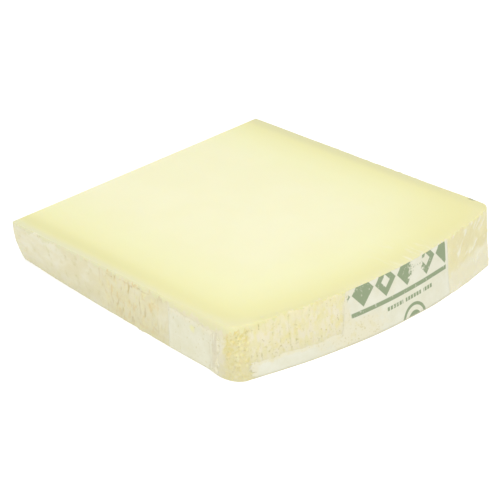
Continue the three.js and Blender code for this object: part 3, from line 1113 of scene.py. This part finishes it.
# %% A recipe for printing
class Print(Recipe):
    """A recipe for printing: shapes are laid out in millimetres, and 1 is full ink."""

    def edge(self, value, limit, soft):
        """1 where value is under limit, falling to 0 over a soft edge."""
        return self.fall(value, limit - soft, limit + soft)

    def band(self, value, centre, half_width, soft):
        """1 within half_width of the centre."""
        return self.edge(abs(value - centre), half_width, soft)

    def fraction(self, value):
        return self.math("FRACT", value)

    def lozenge_row(self, along_mm, up_mm):
        """A row of lozenges, in turn solid and hollow."""
        cell = (along_mm + 6.2) / LOZENGE_PITCH
        beside = abs((self.fraction(cell) - 0.5) * LOZENGE_PITCH) / LOZENGE_HALF_WIDTH
        reach = beside + abs(up_mm - LOZENGE_MIDDLE) / LOZENGE_HALF_HEIGHT
        hollow = 1.0 - self.edge(reach, 0.42, 0.03)
        solid = self.math("GREATER_THAN", self.fraction(cell * 0.5), 0.5)
        shape = self.edge(reach, 1.0, 0.03) * self.largest(hollow, solid)
        return shape * self.band(along_mm, 23.0, 22.0, 0.1)

    def roundel(self, along_mm, up_mm):
        """A ring round a solid disc, which the paper's lower edge cuts through."""
        side = along_mm - ROUNDEL_AT
        rise = up_mm - ROUNDEL_UP
        radius = self.math("SQRT", side * side + rise * rise)
        return self.largest(self.band(radius, 4.8, 0.5, 0.1), self.edge(radius, 2.8, 0.1))

    def ink(self, along_mm, up_mm):
        """Where the ink is, from the place on the panel; the rows climb a little."""
        up = up_mm - ROW_CLIMB * along_mm
        rule = self.band(up, RULE_UP, 0.68, 0.1) * self.band(along_mm, 23.9, 21.1, 0.2)
        dash = self.edge(self.fraction(along_mm / 1.3), 0.74, 0.08)
        gap = self.edge(self.fraction(along_mm / 8.3), 0.86, 0.02)
        dashes = self.band(up, DASHES_UP, 0.6, 0.12) * dash * gap * self.band(along_mm, 26.5, 11.0, 0.1)
        rows = self.largest(self.largest(rule, self.lozenge_row(along_mm, up)), dashes)
        return self.largest(rows, self.roundel(along_mm, up_mm))


print("lozenges that fit on the panel:", int((PANEL_TO - PANEL_FROM) / MM / LOZENGE_PITCH))

# %% The finishes of the two papers
def paper_material(name, printed, tones, light):
    material, p, shader = new_material(name, Print)
    place = p.wire("Object", "ShaderNodeTexCoord")
    fibre = p.ramp(p.noise(place, 5 * MM, 11.0, 4.0, 0.6), 0.3, 0.7)
    paper = Coats(p, light, tones[0]).lay(fibre, tones[1])
    stained = p.value("stained")
    grown = p.ramp(p.noise(place, 3.0 * MM, 12.0, 5.0, 0.65) + 0.42 * stained, 0.6, 0.9)
    specks = p.ramp(p.noise(place, 0.8 * MM, 15.0, 3.0), 0.57, 0.68) * grown
    patches = p.ramp(p.noise(place, 2.2 * MM, 17.0, 4.0, 0.6), 0.52, 0.64) * stained
    paper.lay(grown, PAPER_STAIN)
    paper.lay(0.5 * patches, PAPER_PATCH)
    paper.lay(0.6 * specks, PAPER_SPECK)
    if printed:
        split = p.wires("ShaderNodeSeparateXYZ", {0: p.wire(0, "ShaderNodeUVMap", uv_map="sheet")})
        along_mm = 100.0 * split["X"] - PANEL_AT_MM
        up_mm = 100.0 * split["Y"]
        worn_place = p.band(along_mm, 30.5, 3.6, 1.5) * p.ramp(up_mm, 10.5, 12.0)
        wear = p.noise(place, 1.1 * MM, 13.0, 4.0, 0.7)
        kept = p.ramp(wear - 0.2 * worn_place, 0.3, 0.42) * p.fall(grown, 0.3, 0.9) * 0.95
        paper.lay(p.ink(along_mm, up_mm) * kept, INK_GREEN)
    else:
        spot_place = p.bent(place, 1.6 * MM, 1.6 * MM)
        butter = spot_mask(p, spot_place, BUTTER_AT, 0.3 * MM, 1.6 * MM)
        marks = p.ramp(p.noise(place, 0.9 * MM, 34.0, 3.0) + 0.06 * stained, 0.62, 0.72)
        folds = p.ramp(p.noise(p.stretch(place, 1.0, 1.0, 0.12), 0.9 * MM, 9.0), 0.52, 0.4)
        paper.lay(0.8 * butter, BUTTER_SPOT)
        paper.lay(0.6 * marks, PAPER_SPECK)
        paper.lay(folds * p.value("folded") * 0.7, FOLD_SHADE)
    height = p.wires("ShaderNodeSeparateXYZ", {0: place})["Z"]
    # Painted shade: the paper darkens in its lowest millimetre, where it meets the table.
    paper.lay(p.ramp(height, 0.3 * MM, 1.0 * MM, 0.35, 0.0), PAPER_CONTACT_SHADE)
    bump = {"Height": p.noise(place, 1.6 * MM, 14.0, 4.0, 0.6), "Distance": 0.12 * MM, "Strength": 0.6}
    look = {"Base Color": paper.color, "Normal": p.wire(0, "ShaderNodeBump", bump)}
    p.feed(shader, {**look, "Roughness": 0.78, "Specular IOR Level": 0.3})
    return material


printed_paper = paper_material("printed label paper", True, PRINTED_PAPER, HEEL_LIGHT)
plain_paper = paper_material("plain label paper", False, PLAIN_PAPER, SIDE_LIGHT)
print("paper finishes:", printed_paper.name, "and", plain_paper.name)

# %% [markdown]
# ## The paper
# Each piece of paper is a thin closed sheet pressed onto the rind. Its grid is placed by
# distance along the rind and height, so its torn edges are lines in that grid. A Shrinkwrap
# modifier could lay it on the rind, but it would flatten the sheet's two sides together. A
# Geometry Nodes tree casts a ray inwards from every point instead, and sets the point down a
# hair above the rind that it meets. The border is pressed into the rind, as glued paper is.

# %% The tree that presses paper onto the rind
PAPER_SIZES = {
    "Lift": 0.05 * MM,
    "Thickness": 0.11 * MM,
    "Wrinkle size": 2.4 * MM,
    "Wrinkle height": 0.10 * MM,
    "Fold size": 0.9 * MM,
    "Fold height": 0.8 * MM,
    "Seed": 9.0,
}
extra = {"Rind": "NodeSocketObject", "Material": "NodeSocketMaterial"}
press_tree = tree_with_inputs("press onto the rind", PAPER_SIZES, extra)
g = Recipe(press_tree)
given = g.wires("NodeGroupInput")
place = g.wire(0, "GeometryNodeInputPosition")
direction = g.value("outward", "FLOAT_VECTOR")
cheese_shape = g.wire("Geometry", "GeometryNodeObjectInfo", {"Object": given["Rind"]})


def along_outward(distance):
    return g.vector("SCALE", {0: direction, "Scale": distance})


above_rind = g.vector("ADD", {0: place, 1: along_outward(3 * MM)})
ray = {"Target Geometry": cheese_shape, "Source Position": above_rind}
ray.update({"Ray Direction": along_outward(-1.0), "Ray Length": 9 * MM})
met = g.wire("Hit Position", "GeometryNodeRaycast", ray)
free = g.value("free")
wrinkles = g.noise(place, given["Wrinkle size"], given["Seed"]) - 0.35
fold_noise = g.noise(g.stretch(place, 1.0, 1.0, 0.12), given["Fold size"], given["Seed"])
folds = g.ramp(fold_noise, 0.4, 0.65) * g.value("folded") * given["Fold height"] * 0.5
lift = (given["Lift"] + wrinkles * given["Wrinkle height"] + folds) * free
outer_lift = given["Thickness"] * (0.75 * free + 0.25)
inner_lift = -0.06 * MM * (1 - free)
height = g.mix(g.value("inner"), outer_lift, inner_lift)
pressed = g.vector("ADD", {0: met, 1: along_outward(lift + height)})
moved = g.wire(0, "GeometryNodeSetPosition", {"Geometry": given["Geometry"], "Position": pressed})
finish_tree(g, moved, given["Material"])
print("paper tree:", len(press_tree.nodes), "nodes")

# %% Lay out a sheet of paper
PAPER_PITCH = 0.38 * MM
PAPER_BORDER = 0.9 * MM
PAPER_ROWS = 43
TEAR_SPAN = 17 * MM
TEAR_SIZE = 3 * MM
MAP_SIZE = 100 * MM


def paper_sheet(name, start, end, top_rule, torn_start, torn_end, stain_rule, fold_width):
    """A closed sheet between two distances along the rind, with its map and its stains."""
    columns = int((end - start) / PAPER_PITCH)
    rows = PAPER_ROWS
    up = np.linspace(0, 1, rows)[:, None]
    share = np.linspace(0, 1, columns)[None, :]
    ragged_start = start + torn_start * wander(up * TEAR_SPAN, TEAR_SIZE, 1.3)
    ragged_end = end + torn_end * wander(up * TEAR_SPAN, TEAR_SIZE, 5.3)
    distance = ragged_start + (ragged_end - ragged_start) * share
    places = places_at(distance)
    full = thickness_at(places[0], places[1])
    top = top_rule(distance, full)
    z = LABEL_FOOT + (top - LABEL_FOOT) * up
    sheet_points = rind_points(places, z, 0).reshape(-1, 3)
    vertices = np.concatenate([sheet_points, sheet_points])

    def number(layer, row, column):
        return layer * rows * columns + row * columns + column

    faces = []
    for r in range(rows - 1):
        for k in range(columns - 1):
            around = ((r, k), (r, k + 1), (r + 1, k + 1), (r + 1, k))
            faces.append([number(1, *corner_at) for corner_at in around])
            faces.append([number(0, *corner_at) for corner_at in reversed(around)])
    rim = [(0, k) for k in range(columns)] + [(r, columns - 1) for r in range(1, rows)]
    rim += [(rows - 1, k) for k in range(columns - 2, -1, -1)] + [(r, 0) for r in range(rows - 2, 0, -1)]
    for here, there in zip(rim, rim[1:] + rim[:1]):
        faces.append([number(0, *here), number(0, *there), number(1, *there), number(1, *here)])

    mesh = bpy.data.meshes.new(name)
    mesh.from_pydata(vertices.tolist(), [], faces)
    flat_map = np.stack([(distance - start) / MAP_SIZE, z / MAP_SIZE], axis=-1).reshape(-1, 2)
    flat_map = np.concatenate([flat_map, flat_map])
    corners = np.zeros(len(mesh.loops), np.int32)
    mesh.loops.foreach_get("vertex_index", corners)
    mesh.uv_layers.new(name="sheet").data.foreach_set("uv", flat_map[corners].ravel().astype(np.float32))
    steepness = np.hypot(1, np.gradient(top, axis=1) / np.gradient(distance, axis=1))
    to_top = (top - z) / steepness
    to_ends = np.minimum(distance - ragged_start, ragged_end - distance)
    to_border = np.minimum.reduce([to_ends, z - LABEL_FOOT, to_top])
    folded = 0 * distance
    if fold_width:
        folded = smooth_step(end - fold_width, end - 0.4 * fold_width, distance)
    values = {
        "stained": np.tile(stain_rule(distance, z, top).ravel(), 2),
        "free": np.tile(smooth_step(0, PAPER_BORDER, to_border).ravel(), 2),
        "inner": np.repeat([1.0, 0.0], rows * columns),
        "folded": np.tile(folded.ravel(), 2),
    }
    for key, value in values.items():
        store_on_points(mesh, key, value)
    facing = np.stack([places[2], places[3], 0 * places[2]], axis=-1).reshape(-1, 3)
    store_on_points(mesh, "outward", np.concatenate([facing, facing]))
    return new_object(name, mesh)


# %% Make the two sheets
def heel_stains(distance, z, top):
    """The rind has grown back over the strip's ends and edge and the panel's low, near corner."""
    near = 1 - smooth_step(PANEL_FROM + 7 * MM, PANEL_FROM + 19 * MM, distance)
    low = 1 - smooth_step(5.5 * MM, 9 * MM, z)
    strip = smooth_step(PANEL_FROM - 14 * MM, PANEL_FROM + 1 * MM, distance)
    torn_edge = 1 - smooth_step(PANEL_FROM, PANEL_FROM + 3.5 * MM, distance)
    start = 1 - smooth_step(STRIP_FROM, STRIP_FROM + 3.5 * MM, distance)
    above = (1 - smooth_step(0, 1.4 * MM, top - z)) * (1 - smooth_step(7 * MM, 9 * MM, z))
    return np.clip(0.15 + np.maximum.reduce([near * low * strip, torn_edge * strip, start, above]), 0, 1)


def scrap_stains(distance, z, top):
    """The rind has grown over the scrap's upper edge and its end by the corner."""
    by_corner = smooth_step(SCRAP_TO - 4 * MM, SCRAP_TO, distance)
    above = 1 - smooth_step(0, 2.4 * MM, top - z)
    return np.clip(0.15 + 0.8 * np.maximum(by_corner, above), 0, 1)


papers = {}


def press(name, node, finish, **layout):
    """Lays out a sheet, presses it onto the rind and keeps it under its node's name."""
    sheet = paper_sheet("flat " + name, **layout)
    press_values = {**PAPER_SIZES, "Rind": cheese_body, "Material": finish}
    papers[node] = apply_tree(sheet, press_tree, press_values, name)
    print(name, "faces:", len(papers[node].data.polygons))


heel_layout = {
    "start": STRIP_FROM,
    "end": PANEL_TO,
    "top_rule": heel_label_top,
    "stain_rule": heel_stains,
    "torn_start": 1.5 * MM,
    "torn_end": 0.08 * MM,
    "fold_width": 0,
}
press("heel_label_paper", "heel_label", printed_paper, **heel_layout)
scrap_layout = {
    "start": SCRAP_FROM,
    "end": SCRAP_TO,
    "top_rule": scrap_top,
    "stain_rule": scrap_stains,
    "torn_start": 0.1 * MM,
    "torn_end": 0.9 * MM,
    "fold_width": 5 * MM,
}
press("side_label_paper", "side_label_scrap", plain_paper, **scrap_layout)

# %% Tie each piece to the frame
for piece, node in ((cheese_body, "cheese"), *((paper, node) for node, paper in papers.items())):
    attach(piece, "root")
    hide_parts(node)
    print(piece.name, "stands for", node)

# %% [markdown]
# ## Finish
